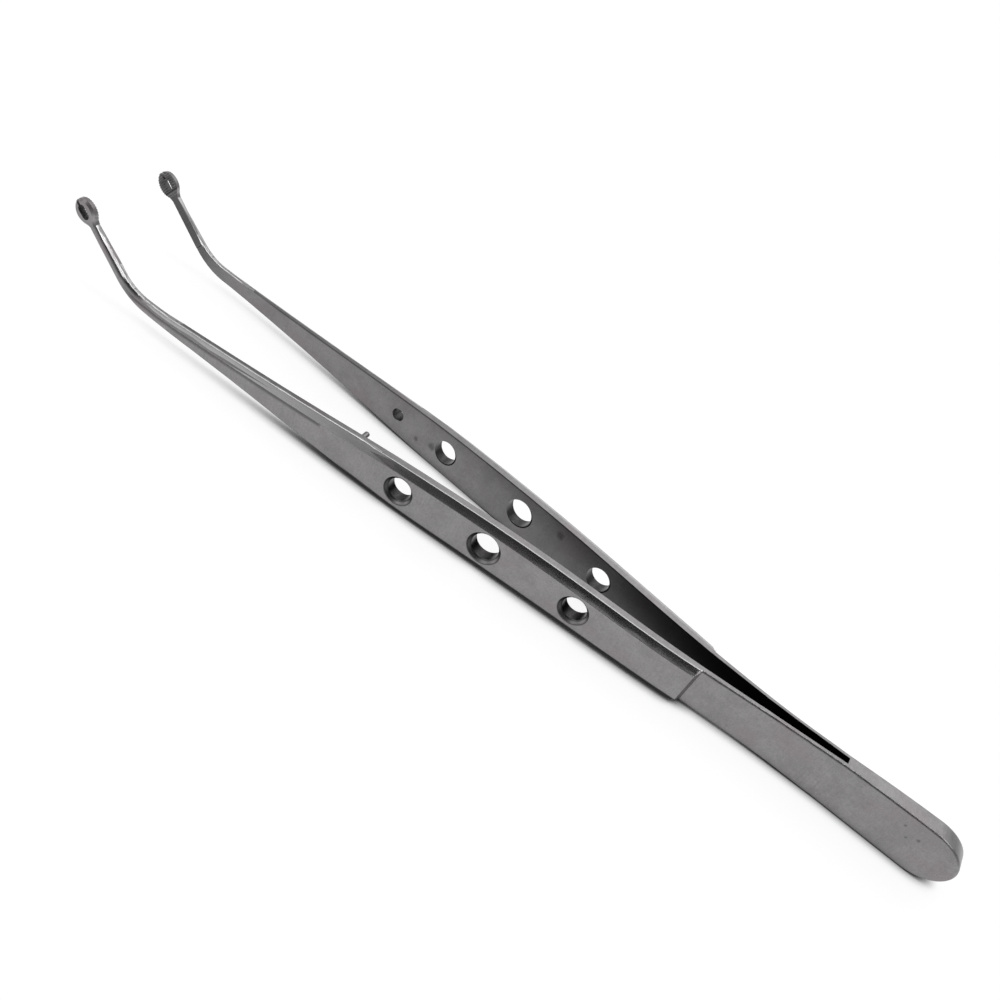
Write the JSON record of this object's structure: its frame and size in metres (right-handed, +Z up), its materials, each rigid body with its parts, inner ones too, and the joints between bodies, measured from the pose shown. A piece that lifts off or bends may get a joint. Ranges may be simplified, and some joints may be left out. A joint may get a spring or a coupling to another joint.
{
  "type": "suture tweezers",
  "caption": "Spring tweezers with drilled grips, a guide pin and upturned slotted ring tips with cross teeth for holding tissue while a suture is passed.",
  "frame": {"origin": "centre of the bounding box's footprint, on the surface that the lower narrow edges stand on", "axes": "+X from the tail towards the ring tips; +Y towards the left arm, which carries the guide pin; +Z up, the way the tips are bent"},
  "size_m": [0.1603, 0.0194, 0.013],
  "materials": {
    "steel": "satin ground stainless steel",
    "pin_steel": "turned stainless steel"
  },
  "bodies": {
    "tail": {"tail": "steel"},
    "left_arm": {"left_arm": "steel", "guide_pin": "pin_steel"},
    "right_arm": {"right_arm": "steel"}
  },
  "joints": [
    {"name": "left_arm_squeeze", "type": "hinge", "parent": "tail", "child": "left_arm", "pos_m": [-0.05925, 0.00057, 0.0043], "axis": [0, 0, -1], "range_deg": [0, 3.48], "stiffness_Nm_per_rad": 3},
    {"name": "right_arm_squeeze", "type": "hinge", "parent": "tail", "child": "right_arm", "pos_m": [-0.05925, -0.00057, 0.0043], "axis": [0, 0, 1], "range_deg": [0, 3.48], "stiffness_Nm_per_rad": 3}
  ],
  "couplings": [
    {"joint": "right_arm_squeeze", "follows": "left_arm_squeeze", "ratio": 1}
  ]
}
